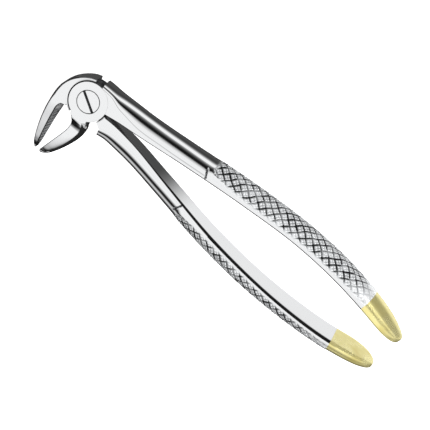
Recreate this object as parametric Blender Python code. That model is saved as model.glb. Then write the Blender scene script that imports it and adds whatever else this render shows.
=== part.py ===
"""Extraction forceps of the English pattern, with beaks bent square for lower roots.

Two forged halves cross in a lap joint and turn on a slotted screw. The rear half carries the
outer beak, the wall that wraps the joint, and the lower handle. The front half carries the inner
beak and the upper handle. Each handle is a D in section: a flat inner face, and a convex outer
side cut with crossed grooves for grip. The last stretch of each handle is gold plated.

Frame: the origin lies on the pivot axis in the flat back face of the head. +X runs along the
handles, +Y towards the front half's handle, +Z along the pivot towards the screw's slot.
"""

import math

import bmesh
import bpy
import numpy as np

MM = 0.001

# Driving sizes of the joint, in millimetres.
HEAD = 8.6
LAP = HEAD / 2
GAP = 0.3
DISC_R = 8.5
SEAT_R = DISC_R + GAP
SEAT_CHAMFER = 0.9
SEAT_CHAMFER_DROP = 0.22
WALL_R = 9.3
WALL_START = 108.0
WALL_END = 244.5
ROUND_STEPS = 72

# The pivot screw: a flush slotted head, a plain shoulder and a threaded end.
HEAD_R = 4.74
HEAD_DEEP = 1.9
SHOULDER_R = 3.4
THREAD_R = 3.0
SCREW_CHAMFER = 0.25
RUN = 0.08
HEAD_RUN = 0.2
SLOT_WIDE = 0.85
SLOT_DEEP = 1.1
SLOT_ANGLE = -34.0

# Handles: each list pairs a place along X with a value there, and a smooth curve joins them.
UPPER_INNER = [
    (2.8, -0.65), (8.4, 0.35), (14, 1.4), (23, 2.55), (45, 5.85), (75, 9.75), (105, 12.05),
    (130, 10.8), (145, 8.4), (157.3, 5.2),
]
LOWER_INNER = [
    (5.0, -0.8), (13, -0.35), (23, -1.05), (45, -4.55), (75, -9.35), (105, -11.2), (120, -10.75),
    (135, -9.25), (145, -7.4), (156.2, -5.3),
]
HANDLE_WIDTH = [
    (0, 8.56), (20, 8.56), (35, 9.1), (55, 10.2), (75, 11.3), (95, 12.2), (115, 14.0),
    (135, 15.7), (145, 15.8), (160, 15.8),
]
UPPER_DEPTH = [
    (0, 12.2), (4, 11.9), (9, 11.1), (14, 10.4), (20, 9.95), (35, 9.1), (60, 8.65), (80, 8.5),
    (97, 8.1), (125, 7.3), (145, 6.2), (160, 5.2),
]
LOWER_DEPTH = [
    (0, 10.6), (4, 10.3), (9, 9.5), (14, 8.9), (20, 8.7), (35, 8.1), (60, 7.85), (97, 7.3),
    (125, 6.5), (145, 6.0), (160, 5.7),
]
UPPER_SIDE = [(0, 9.2), (4, 8.7), (9, 7.2), (12, 5.3), (16, 3.9), (20, 2.9), (35, 1.8),
              (60, 1.4), (160, 1.2)]
LOWER_SIDE = [(0, 6.2), (10, 4.9), (15, 3.6), (20, 2.9), (35, 2.1), (60, 1.4), (160, 1.2)]

# Each handle: inner face, flat side, depth, and the sign of Y on its outer side.
UPPER = (UPPER_INNER, UPPER_SIDE, UPPER_DEPTH, 1)
LOWER = (LOWER_INNER, LOWER_SIDE, LOWER_DEPTH, -1)
INNER_EDGE = 0.6
CROWN = 2.15
ARC_STEPS = 22

# The grip: a groove as a collar, then crossed grooves, then the plated end.
COLLAR = 55.4
COLLAR_DEEP = 0.4
GRIP_START = 56.8
GRIP_RAISE = 0.35
CELL_LONG = 3.9
CELL_STEPS = 3
CELLS = 20
GROOVE_DEEP = 0.45
GROOVE_MARGIN = 2
GOLD_START = 137.6
GOLD_STEP = 0.25

# Nose of each handle: where the rounding starts, how blunt it is, and how the depth follows.
NOSE_LONG = 15.5
NOSE_BLUNT = 2.4
NOSE_DEPTH = 0.6
NOSE_LIFT = 2.2
NOSE_STEPS = 9

# Outer beak and joint wall: (outer point, inner point, half height, gouge), end of wall to tip.
OUTER_BEAK = [
    ((-2.8, 9.7), (-1.9, 6.8), 4.3, 0.0),
    ((-5.2, 8.65), (-3.7, 6.0), 4.3, 0.0),
    ((-7.2, 7.25), (-4.8, 5.1), 4.3, 0.0),
    ((-8.9, 5.7), (-5.7, 4.0), 4.3, 0.0),
    ((-10.7, 3.6), (-6.4, 2.5), 4.3, 0.0),
    ((-12.15, 1.2), (-6.8, 0.8), 4.3, 0.0),
    ((-13.1, -1.3), (-6.9, -1.0), 4.3, 0.0),
    ((-13.5, -4.5), (-6.4, -3.6), 4.3, 0.0),
    ((-13.45, -7.0), (-6.3, -7.3), 4.3, 0.0),
    ((-13.3, -8.7), (-8.1, -8.1), 4.25, 0.1),
    ((-13.1, -10.6), (-8.7, -10.2), 4.15, 0.4),
    ((-12.75, -13.4), (-8.5, -13.4), 3.9, 0.8),
    ((-12.05, -17.2), (-8.05, -17.2), 3.5, 0.95),
    ((-11.1, -21.0), (-7.5, -21.0), 3.1, 0.9),
    ((-10.05, -24.4), (-6.95, -24.4), 2.7, 0.75),
    ((-8.9, -27.6), (-6.4, -27.6), 2.25, 0.55),
    ((-7.9, -29.8), (-6.05, -29.8), 1.75, 0.35),
    ((-7.1, -31.1), (-5.85, -31.1), 1.2, 0.15),
    ((-6.65, -31.7), (-6.0, -31.7), 0.6, 0.0),
]

# Inner beak: the same, from inside the front plate to the tip.
INNER_BEAK = [
    ((4.7, -6.4), (-2.2, -6.4), 3.6, 0.0),
    ((5.1, -8.0), (-2.5, -8.0), 3.9, 0.0),
    ((5.5, -9.6), (-2.1, -9.6), 4.05, 0.0),
    ((5.85, -10.8), (-1.0, -10.8), 3.6, 0.1),
    ((6.0, -12.4), (-0.35, -12.4), 3.25, 0.4),
    ((5.95, -14.8), (-0.2, -14.8), 3.15, 0.9),
    ((5.4, -17.8), (-0.7, -17.8), 3.05, 1.2),
    ((4.4, -21.0), (-1.5, -21.0), 2.9, 1.25),
    ((3.1, -24.1), (-2.3, -24.1), 2.65, 1.1),
    ((1.65, -27.0), (-3.05, -27.0), 2.3, 0.85),
    ((0.1, -29.5), (-3.75, -29.5), 1.85, 0.55),
    ((-1.35, -31.2), (-4.1, -31.2), 1.3, 0.25),
    ((-2.9, -32.1), (-3.9, -32.0), 0.55, 0.0),
]
OUTER_SQUARE = 9.0
OUTER_SLANT = 0.85
INNER_SQUARE = 2.5
RIM = 0.55
BEAK_ARC = 14
GOUGE_ARC = 6

# Front plate: a disc with a lobe that reaches over the neck of the inner beak.
LOBE = [(-2.9, -8.75), (-1.2, -9.4), (0.9, -9.6), (3.0, -9.2), (4.6, -8.1)]

# The rear shank's corner below the joint, cut away to let the inner beak's neck swing.
CORNER = [(3.0, -1.6), (7.35, -4.35), (10.3, -6.1), (10.8, -12.0), (3.0, -12.0)]

PIVOT_HEIGHT = HEAD / 2


def clear_scene():
    """Remove the objects that the file starts with."""
    for thing in list(bpy.data.objects):
        bpy.data.objects.remove(thing, do_unlink=True)


def make_collection(name):
    """Add an empty collection to the scene."""
    collection = bpy.data.collections.new(name)
    bpy.context.scene.collection.children.link(collection)
    return collection


def make_metal(name, colour, roughness):
    """Make a polished metal from its colour and roughness."""
    metal = bpy.data.materials.new(name)
    metal.use_nodes = True
    shader = metal.node_tree.nodes["Principled BSDF"]
    shader.inputs["Base Color"].default_value = (*colour, 1.0)
    shader.inputs["Metallic"].default_value = 1.0
    shader.inputs["Roughness"].default_value = roughness
    return metal


def fair(keys, x):
    """Height at x of a smooth curve that passes through every (place, value) key."""
    places = np.array([key[0] for key in keys], dtype=float)
    values = np.array([key[1] for key in keys], dtype=float)
    slopes = np.gradient(values, places)
    i = np.clip(np.searchsorted(places, x) - 1, 0, len(places) - 2)
    span = places[i + 1] - places[i]
    u = np.clip((x - places[i]) / span, 0.0, 1.0)
    start = (1 + 2 * u) * (1 - u) ** 2 * values[i] + u * (1 - u) ** 2 * span * slopes[i]
    end = u * u * (3 - 2 * u) * values[i + 1] - u * u * (1 - u) * span * slopes[i + 1]
    return start + end


def superellipse(half, rise, power, turn):
    """Points of a squared-off ellipse at the angles in turn."""
    across = half * np.sign(np.cos(turn)) * np.abs(np.cos(turn)) ** (2 / power)
    up = rise * np.abs(np.sin(turn)) ** (2 / power)
    return across, up


def even_steps(across, up, steps):
    """Walk a fine polyline in steps of equal length."""
    length = np.concatenate([[0.0], np.cumsum(np.hypot(np.diff(across), np.diff(up)))])
    walk = np.linspace(0.0, length[-1], steps + 1)
    return np.interp(walk, length, across), np.interp(walk, length, up)


def skin(rings, diagonals=None):
    """Join closed rings of points into a body with flat ends.

    diagonals tells, for each quad, which way a pair of triangles splits it: 0 leaves the quad.
    """
    count, size, _ = rings.shape
    faces = []
    for i in range(count - 1):
        for j in range(size):
            k = (j + 1) % size
            a, b, c, d = i * size + j, i * size + k, (i + 1) * size + k, (i + 1) * size + j
            way = 0 if diagonals is None else diagonals[i, j]
            if way == 0:
                faces.append((a, b, c, d))
            elif way > 0:
                faces.extend([(a, b, c), (a, c, d)])
            else:
                faces.extend([(a, b, d), (b, c, d)])
    faces.append(tuple(range(size)))
    faces.append(tuple(range((count - 1) * size, count * size)))
    mesh = bpy.data.meshes.new("skin")
    mesh.from_pydata((rings.reshape(-1, 3) * MM).tolist(), [], faces)
    face_out(mesh)
    return mesh


def face_out(mesh):
    """Turn every face of a closed mesh outwards."""
    work = bmesh.new()
    work.from_mesh(mesh)
    bmesh.ops.recalc_face_normals(work, faces=work.faces)
    work.to_mesh(mesh)
    work.free()


def prism(outline, low, high):
    """Raise a flat outline from one height to another."""
    low_ring = [(x, y, low) for x, y in outline]
    high_ring = [(x, y, high) for x, y in outline]
    return skin(np.array([low_ring, high_ring]))


def round_outline(radius, start=0.0, end=360.0, steps=ROUND_STEPS):
    """Points of an arc about the pivot, in degrees; a full circle isn't closed on itself."""
    whole = end - start >= 360.0
    turn = np.radians(np.linspace(start, end, steps + (0 if whole else 1), endpoint=not whole))
    return [(radius * math.cos(a), radius * math.sin(a)) for a in turn]


def turned(profile, steps=ROUND_STEPS):
    """Turn a profile of (radius, height) pairs about the pivot axis."""
    rings = []
    for radius, height in profile:
        rings.append([(x, y, height) for x, y in round_outline(radius, steps=steps)])
    return skin(np.array(rings))


def add_part(name, mesh, collection, metal=None):
    """Put a mesh in a collection, as a part with a metal or as a tool for cuts and joins."""
    thing = bpy.data.objects.new(name, mesh)
    mesh.name = name
    collection.objects.link(thing)
    if metal is None:
        thing.hide_render = True
        thing.display_type = "WIRE"
        return thing
    mesh.materials.append(metal)
    mesh.shade_smooth()
    mesh.set_sharp_from_angle(angle=math.radians(28))
    return thing


def combine(part, operation, tool):
    """Join a tool to a part with UNION, or cut it away with DIFFERENCE."""
    step = part.modifiers.new(tool.name, "BOOLEAN")
    step.operation = operation
    step.solver = "EXACT"
    step.object = tool


def handle_section(x, tip, side_keys, depth_keys, raised):
    """One D section of a handle: width places and depths, and how far each point is raised.

    The nose shrinks the D as it nears the tip and lifts it off the line of the inner face.
    """
    nose = np.clip((x - tip + NOSE_LONG) / NOSE_LONG, 0.0, 1.0)
    shrink = math.sqrt(1.0 - nose**NOSE_BLUNT)
    half = fair(HANDLE_WIDTH, x) / 2 * shrink
    depth = fair(depth_keys, x) * shrink**NOSE_DEPTH
    side = fair(side_keys, x) * shrink
    edge = INNER_EDGE * shrink
    turn = np.linspace(0.0, math.pi, 241)
    across, up = superellipse(half, depth - side, CROWN, turn)
    across, up = even_steps(across, up, ARC_STEPS)
    away = np.hypot(np.gradient(up), np.gradient(across))
    across, up = (
        across + raised * np.gradient(up) / away,
        up - raised * np.gradient(across) / away,
    )
    across = np.concatenate([across, [-half, edge - half, half - edge, half]])
    up = np.concatenate([up + side, [edge, 0.0, 0.0, edge]])
    return across, up + NOSE_LIFT * (1.0 - shrink)


def handle_ring(x, handle, raised):
    """A section set square to the inner face's curve, as points in space."""
    inner_keys, side_keys, depth_keys, sign = handle
    step = 0.1
    slope = (fair(inner_keys, x + step) - fair(inner_keys, x - step)) / (2 * step)
    lean = math.atan(slope)
    across, up = handle_section(x, inner_keys[-1][0], side_keys, depth_keys, raised)
    points_x = x - sign * up * math.sin(lean)
    points_y = fair(inner_keys, x) + sign * up * math.cos(lean)
    return np.stack([points_x, points_y, LAP + across], axis=1)


def shank_stations():
    """Places and raises from the joint to the collar in front of the grip."""
    plain = [2.8, 5, 6.5, 8.5, 11, 14, 17, 20, 23.5, 27.5, 32, 38, 45, COLLAR - 0.9]
    collar = [(COLLAR - 0.35, -COLLAR_DEEP), (COLLAR + 0.35, -COLLAR_DEEP)]
    return [(x, 0.0) for x in plain] + collar


def grip_grid():
    """The grip's stations, how deep each point of the grid is cut, and how its quads split.

    The grid has three steps to a cell both ways. A groove is a chain of low points that runs
    diagonally across it, and each quad on a groove is split along the groove.
    """
    rows = CELLS * CELL_STEPS + 1
    places = GRIP_START + np.arange(rows) * CELL_LONG / CELL_STEPS
    i, j = np.meshgrid(np.arange(rows), np.arange(ARC_STEPS + 1), indexing="ij")
    j = j - ARC_STEPS // 2
    reach = ARC_STEPS // 2 - GROOVE_MARGIN
    cut = ((i + j) % CELL_STEPS == 0) | ((i - j) % CELL_STEPS == 0)
    cut &= (np.abs(j) <= reach) & (i > 0) & (i < rows - 1)
    left = (i - j) % CELL_STEPS == 0
    right = (i + 1 + j) % CELL_STEPS == 0
    split = np.where(left, 1, np.where(right, -1, 0))
    return places, np.where(cut, GRIP_RAISE - GROOVE_DEEP, GRIP_RAISE), split[:-1, :-1]


def handle_mesh(handle, first):
    """A handle from the joint to the end of its grip."""
    rings = []
    for x, raised in shank_stations():
        if x >= first:
            rings.append(handle_ring(x, handle, raised))
    plain = len(rings)
    places, raised, split = grip_grid()
    for x, row in zip(places, raised):
        rings.append(handle_ring(x, handle, row))
    rings.append(handle_ring(GOLD_START - GAP, handle, GRIP_RAISE))
    rings = np.array(rings)
    diagonals = np.zeros((len(rings) - 1, rings.shape[1]), dtype=int)
    diagonals[plain : plain + split.shape[0], : split.shape[1]] = split
    return skin(rings, diagonals)


def gold_mesh(handle):
    """The plated end of a handle, closed to a blunt nose."""
    tip = handle[0][-1][0]
    straight = [GOLD_START, (GOLD_START + tip - NOSE_LONG) / 2]
    curve = tip - NOSE_LONG * (1 - np.sin(np.linspace(0.25, 1.52, NOSE_STEPS)))
    rings = []
    for x in straight + list(curve):
        rings.append(handle_ring(x, handle, GRIP_RAISE - GOLD_STEP))
    return skin(np.array(rings))


def beak_ring(outer, inner, half, gouge, square, slant):
    """One beak section between its back and its working face.

    The face is hollowed by the gouge, and it leans so that its lower rim stands out further.
    """
    turn = np.linspace(0.0, math.pi, BEAK_ARC + 1)
    up, along = superellipse(half, 1.0, square, turn)
    rim = min(RIM, 0.5 * half)
    face = np.linspace(-1.0, 1.0, GOUGE_ARC + 1)
    hollow_up = face * (half - rim)
    thick = math.dist(outer, inner)
    hollow = (1 - face**2) * gouge / thick
    lip = rim / thick
    share = np.concatenate([lip + along * (1 - lip), hollow])
    heights = np.concatenate([up, hollow_up])
    lean = slant * min(gouge / 0.4, 1.0) * half / 4.0 / thick
    share = share + lean * (1 - share) * heights / half
    points_x = inner[0] + share * (outer[0] - inner[0])
    points_y = inner[1] + share * (outer[1] - inner[1])
    return np.stack([points_x, points_y, LAP + heights], axis=1)


def beak_mesh(stations, square, slant):
    """Loft a beak through its stations."""
    rings = [beak_ring(*station, square, slant) for station in stations]
    return skin(np.array(rings))


def seat_cutter():
    """The round seat for the front plate, with a soft chamfer at its mouth."""
    low = LAP - GAP / 2
    mouth = HEAD - SEAT_CHAMFER_DROP
    over = 2.0
    slope = SEAT_CHAMFER / SEAT_CHAMFER_DROP
    return turned([
        (SEAT_R, low),
        (SEAT_R, mouth),
        (SEAT_R + SEAT_CHAMFER, HEAD),
        (SEAT_R + SEAT_CHAMFER + slope * 0.01, HEAD + over),
    ])


def front_plate():
    """Disc and lobe of the front half, as one flat outline."""
    start = math.degrees(math.atan2(LOBE[-1][1], LOBE[-1][0]))
    end = math.degrees(math.atan2(LOBE[0][1], LOBE[0][0])) + 360.0
    arc = round_outline(DISC_R, start + 3.0, end - 3.0)
    return prism(arc + LOBE, LAP + GAP / 2, HEAD)


def slot_cutter():
    """The screwdriver slot across the head."""
    reach = HEAD_R + 1.0
    turn = math.radians(SLOT_ANGLE)
    corners = [(-reach, -1), (reach, -1), (reach, 1), (-reach, 1)]
    outline = []
    for along, side in corners:
        across = side * SLOT_WIDE / 2
        outline.append((
            along * math.cos(turn) - across * math.sin(turn),
            along * math.sin(turn) + across * math.cos(turn),
        ))
    return prism(outline, HEAD - SLOT_DEEP, HEAD + 1.0)


def build_rear_half(parts, tools, steel):
    """Outer beak, joint wall, rear disc and lower handle, as one forging."""
    half = add_part("rear_half", beak_mesh(OUTER_BEAK, OUTER_SQUARE, OUTER_SLANT), parts, steel)
    wall = round_outline(WALL_R, WALL_START, WALL_END, 44) + [(2.0, 0.0)]
    combine(half, "UNION", add_part("wall_sector", prism(wall, 0.0, HEAD), tools))
    disc = turned([(DISC_R, 0.0), (DISC_R, LAP - GAP / 2)])
    shank = add_part("lower_shank", handle_mesh(LOWER, 5.0), tools)
    corner = add_part("corner_cutter", prism(CORNER, -5.0, HEAD + 5.0), tools)
    combine(shank, "DIFFERENCE", corner)
    combine(half, "UNION", shank)
    combine(half, "UNION", add_part("rear_disc", disc, tools))
    combine(half, "DIFFERENCE", add_part("seat_cutter", seat_cutter(), tools))
    bore = turned([(THREAD_R + RUN, -1.0), (THREAD_R + RUN, HEAD)], 48)
    combine(half, "DIFFERENCE", add_part("thread_cutter", bore, tools))
    return half


def build_front_half(parts, tools, steel):
    """Inner beak, front plate with the screw's seat, and upper handle, as one forging."""
    half = add_part("front_half", front_plate(), parts, steel)
    combine(half, "UNION", add_part("inner_beak", beak_mesh(INNER_BEAK, INNER_SQUARE, 0.0), tools))
    shank = add_part("upper_shank", handle_mesh(UPPER, 2.8), tools)
    combine(half, "UNION", shank)
    clear = turned([(SEAT_R, -3.0), (SEAT_R, LAP + GAP / 2)])
    combine(half, "DIFFERENCE", add_part("rear_disc_cutter", clear, tools))
    seat = HEAD - HEAD_DEEP - GAP
    bore = turned([
        (SHOULDER_R + RUN, 0.0),
        (SHOULDER_R + RUN, seat),
        (HEAD_R + HEAD_RUN, seat),
        (HEAD_R + HEAD_RUN, HEAD + 1.0),
    ], 48)
    combine(half, "DIFFERENCE", add_part("screw_cutter", bore, tools))
    return half


def build_screw(parts, tools, steel):
    """Pivot screw: threaded end in the rear half, shoulder and flush head in the front half."""
    under_head = HEAD - HEAD_DEEP
    shoulder = LAP - GAP / 2 + 0.35
    screw = add_part("pivot_screw", turned([
        (THREAD_R - SCREW_CHAMFER, 0.0),
        (THREAD_R, SCREW_CHAMFER),
        (THREAD_R, shoulder),
        (SHOULDER_R, shoulder),
        (SHOULDER_R, under_head),
        (HEAD_R, under_head),
        (HEAD_R, HEAD - SCREW_CHAMFER / 2),
        (HEAD_R - SCREW_CHAMFER / 2, HEAD),
    ], 48), parts, steel)
    combine(screw, "DIFFERENCE", add_part("slot_cutter", slot_cutter(), tools))
    return screw


def main():
    """Build every part, and hang the moving ones on the pivot."""
    clear_scene()
    parts = make_collection("extraction_forceps")
    tools = make_collection("cutters")
    steel = make_metal("polished_steel", (0.78, 0.79, 0.80), 0.10)
    gold = make_metal("gold_plate", (0.86, 0.70, 0.30), 0.16)
    build_rear_half(parts, tools, steel)
    build_screw(parts, tools, steel)
    add_part("rear_handle_gold_end", gold_mesh(LOWER), parts, gold)
    front = build_front_half(parts, tools, steel)
    front_end = add_part("front_handle_gold_end", gold_mesh(UPPER), parts, gold)
    pivot = bpy.data.objects.new("pivot_axis", None)
    pivot.location = (0.0, 0.0, PIVOT_HEIGHT * MM)
    parts.objects.link(pivot)
    bpy.context.view_layer.update()
    for thing in (front, front_end):
        thing.parent = pivot
        thing.matrix_parent_inverse = pivot.matrix_world.inverted()


main()
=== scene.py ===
"""Looks of a pair of extraction forceps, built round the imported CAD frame.

Every length is in millimetres until a mesh is made. The frame's origin lies on the pivot axis in
the back face of the head, +X runs along the handles and +Z along the pivot towards the slot.
"""

import logging
import math
from collections.abc import Sequence
from dataclasses import dataclass
from enum import Enum

import bmesh
import bpy
import numpy as np
from mathutils import Matrix, Vector


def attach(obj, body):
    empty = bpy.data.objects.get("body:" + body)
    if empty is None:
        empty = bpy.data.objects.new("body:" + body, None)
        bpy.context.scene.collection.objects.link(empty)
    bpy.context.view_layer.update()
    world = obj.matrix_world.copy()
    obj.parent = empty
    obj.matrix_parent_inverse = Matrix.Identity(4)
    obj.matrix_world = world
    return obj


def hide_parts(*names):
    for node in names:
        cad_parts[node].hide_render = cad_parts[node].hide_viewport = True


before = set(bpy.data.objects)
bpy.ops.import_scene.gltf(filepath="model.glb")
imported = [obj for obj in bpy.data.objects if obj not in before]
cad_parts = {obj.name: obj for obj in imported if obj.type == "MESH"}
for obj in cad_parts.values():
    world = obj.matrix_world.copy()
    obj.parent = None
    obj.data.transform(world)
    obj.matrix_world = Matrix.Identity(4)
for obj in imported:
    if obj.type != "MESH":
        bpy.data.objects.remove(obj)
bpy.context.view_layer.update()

log = logging.getLogger("forceps")

MM = 0.001
FULL_WHITE = 246
Keys = Sequence[tuple[float, float]]


class Body(Enum):
    """CAD bodies that pieces ride on."""

    REAR = "rear_half"
    FRONT = "front_half"


class Slot(Enum):
    """Material slots of the record."""

    STEEL = "polished_steel"
    SCREW = "screw_steel"
    GOLD = "gold_plate"


# ---------------------------------------------------------------- helpers


def linear(code: str) -> tuple[float, float, float, float]:
    """Turn an sRGB hex colour to the linear RGBA that shaders read.

    Args:
        code: six hex digits, such as "D8DADC".

    Returns:
        Red, green, blue and an alpha of 1.
    """
    parts = [int(code[i : i + 2], 16) / 255 for i in (0, 2, 4)]
    red, green, blue = (c / 12.92 if c <= 0.04045 else ((c + 0.055) / 1.055) ** 2.4 for c in parts)
    return red, green, blue, 1.0


def fair(keys: Keys, x: np.ndarray | float) -> np.ndarray:
    """Read a smooth curve that passes through every key.

    Between two keys it is the cubic that has the keys' heights and the mean slopes there.

    Args:
        keys: (place, value) pairs in rising order of place.
        x: places to read.

    Returns:
        The curve's values at x.
    """
    places, values = np.array(keys, dtype=float).T
    slopes = np.gradient(values, places)
    x = np.asarray(x, dtype=float)
    i = np.clip(np.searchsorted(places, x) - 1, 0, len(places) - 2)
    span = places[i + 1] - places[i]
    u = np.clip((x - places[i]) / span, 0.0, 1.0)
    start = (1 + 2 * u) * (1 - u) ** 2 * values[i] + u * (1 - u) ** 2 * span * slopes[i]
    end = u * u * (3 - 2 * u) * values[i + 1] - u * u * (1 - u) * span * slopes[i + 1]
    return start + end


def smooth_step(x: np.ndarray, low: float, high: float) -> np.ndarray:
    """Rise from 0 at low to 1 at high with level ends, as three squares less two cubes."""
    t = np.clip((x - low) / (high - low), 0.0, 1.0)
    return t * t * (3 - 2 * t)


def power(value: np.ndarray, exponent: float) -> np.ndarray:
    """Raise the size of a value to a power and keep its sign."""
    return np.sign(value) * np.abs(value) ** exponent


def grid_mesh(name: str, rings: np.ndarray, start: bool = True, end: bool = True) -> bpy.types.Mesh:
    """Skin a grid of closed rings, with a flat face over each end that is asked for.

    Args:
        name: the mesh's name.
        rings: array of (ring, point, xyz) in millimetres.
        start: whether the first ring is capped.
        end: whether the last ring is capped.

    Returns:
        A mesh in metres with its faces outwards.
    """
    count, size, _ = rings.shape
    index = np.arange(count * size).reshape(count, size)
    turn = np.roll(index, -1, axis=1)
    quads = np.stack([index[:-1], turn[:-1], turn[1:], index[1:]], axis=-1).reshape(-1, 4)
    faces = quads.tolist()
    if start:
        faces.append(index[0, ::-1].tolist())
    if end:
        faces.append(index[-1].tolist())
    mesh = bpy.data.meshes.new(name)
    mesh.from_pydata((rings.reshape(-1, 3) * MM).tolist(), [], faces)
    outward(mesh, closed=start and end, rings=rings)
    return mesh


def outward(mesh: bpy.types.Mesh, closed: bool, rings: np.ndarray) -> None:
    """Turn faces outwards: by volume on a closed mesh, else by the first ring's turning sense.

    Args:
        mesh: the mesh to turn.
        closed: whether both its ends are capped.
        rings: the rings that it was skinned from.
    """
    if closed:
        work = bmesh.new()
        work.from_mesh(mesh)
        bmesh.ops.recalc_face_normals(work, faces=work.faces)
        work.to_mesh(mesh)
        work.free()
        return
    middle = rings[0].mean(axis=0)
    spokes = rings[0] - middle
    area = np.cross(spokes, np.roll(spokes, -1, axis=0)).sum(axis=0)
    along = rings[-1].mean(axis=0) - middle
    if area @ along < 0:
        mesh.flip_normals()


def tool_object(name: str, mesh: bpy.types.Mesh) -> bpy.types.Object:
    """Link a mesh as an object that Boolean steps can read."""
    thing = bpy.data.objects.new(name, mesh)
    bpy.context.scene.collection.objects.link(thing)
    return thing


def carve(name: str, base: bpy.types.Mesh, steps: Sequence[tuple[str, bpy.types.Mesh]]) -> bpy.types.Mesh:
    """Join and cut closed meshes in order, and keep only the result.

    Args:
        name: the result's name.
        base: the mesh to start from.
        steps: ("UNION" or "DIFFERENCE", mesh) pairs.

    Returns:
        The resulting mesh.
    """
    body = tool_object(name, base)
    tools = []
    for number, (operation, mesh) in enumerate(steps):
        tool = tool_object(f"{name}_tool_{number}", mesh)
        step = body.modifiers.new(tool.name, "BOOLEAN")
        step.operation = operation
        step.solver = "EXACT"
        step.object = tool
        tools.append(tool)
    bpy.context.view_layer.update()
    graph = bpy.context.evaluated_depsgraph_get()
    result = bpy.data.meshes.new_from_object(body.evaluated_get(graph))
    for thing in [body, *tools]:
        bpy.data.objects.remove(thing)
    result.name = name
    return result


def arc(radius: float, start: float = 0.0, end: float = 360.0, steps: int = 144) -> np.ndarray:
    """Points of an arc about the pivot axis: the radius times the turn's cosine and sine.

    Args:
        radius: the arc's radius.
        start: where it starts, in degrees from +X.
        end: where it ends, in degrees. A whole circle leaves out its last point.
        steps: how many stretches it has.

    Returns:
        Array of (point, xy).
    """
    whole = end - start >= 360.0
    turn = np.radians(np.linspace(start, end, steps + (0 if whole else 1), endpoint=not whole))
    return np.stack([radius * np.cos(turn), radius * np.sin(turn)], axis=1)


def turned(name: str, profile: Keys, steps: int = 144) -> bpy.types.Mesh:
    """Turn (radius, height) pairs about the pivot axis."""
    circle = arc(1.0, steps=steps)
    rings = [np.column_stack([circle * radius, np.full(steps, height)]) for radius, height in profile]
    return grid_mesh(name, np.array(rings))


def prism(name: str, outline: np.ndarray, low: float, high: float) -> bpy.types.Mesh:
    """Raise a flat outline from one height to another."""
    rings = [np.column_stack([outline, np.full(len(outline), z)]) for z in (low, high)]
    return grid_mesh(name, np.array(rings))


def plate(name: str, outline: np.ndarray, low: float, high: float, edge: float) -> bpy.types.Mesh:
    """Raise a flat outline and round its upper edge.

    Each loop of the rounding is the outline moved inwards along its own normals by
    edge times one minus cosine, and up by edge times sine.

    Args:
        name: the mesh's name.
        outline: points once round, anticlockwise.
        low: lower face's height.
        high: upper face's height.
        edge: radius of the rounding.

    Returns:
        The closed plate.
    """
    step = np.roll(outline, -1, axis=0) - np.roll(outline, 1, axis=0)
    inwards = np.stack([-step[:, 1], step[:, 0]], axis=1)
    inwards /= np.linalg.norm(inwards, axis=1, keepdims=True)
    rings = [np.column_stack([outline, np.full(len(outline), low)])]
    for turn in np.linspace(0.0, math.pi / 2, 5):
        moved = outline + inwards * edge * (1 - math.cos(turn))
        height = high - edge * (1 - math.sin(turn))
        rings.append(np.column_stack([moved, np.full(len(outline), height)]))
    return grid_mesh(name, np.array(rings))


def add_node(
    tree: bpy.types.NodeTree, kind: str, links: dict | None = None, **settings: object
) -> bpy.types.Node:
    """Add one shader node.

    Args:
        tree: the node tree.
        kind: the node's type name, without "ShaderNode".
        links: input name or number to an output socket, or to a plain value.
        settings: the node's own properties.

    Returns:
        The new node.
    """
    node = tree.nodes.new("ShaderNode" + kind)
    for name, value in settings.items():
        setattr(node, name, value)
    for name, value in (links or {}).items():
        if isinstance(value, bpy.types.NodeSocket):
            tree.links.new(value, node.inputs[name])
        else:
            node.inputs[name].default_value = value
    return node


def ramp(tree: bpy.types.NodeTree, factor: bpy.types.NodeSocket, stops: Sequence[tuple]) -> bpy.types.Node:
    """Add a colour ramp.

    Args:
        tree: the node tree.
        factor: the socket that moves along the ramp.
        stops: (position, RGBA) pairs in rising order.

    Returns:
        The ramp's node.
    """
    node = add_node(tree, "ValToRGB", {"Fac": factor})
    elements = node.color_ramp.elements
    while len(elements) < len(stops):
        elements.new(0.5)
    for element, (position, colour) in zip(elements, stops):
        element.position = position
        element.color = colour
    return node


def shade(level: float) -> float:
    """Turn a grey from 0 to 255 to linear light, which is 1 at FULL_WHITE and more above it."""
    share = level / FULL_WHITE
    return share / 12.92 if share <= 0.04045 else ((share + 0.055) / 1.055) ** 2.4


def grey(level: float) -> tuple[float, float, float, float]:
    """A linear grey with an alpha of 1."""
    return level, level, level, 1.0


# ---------------------------------------------------------------- finishes


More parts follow.
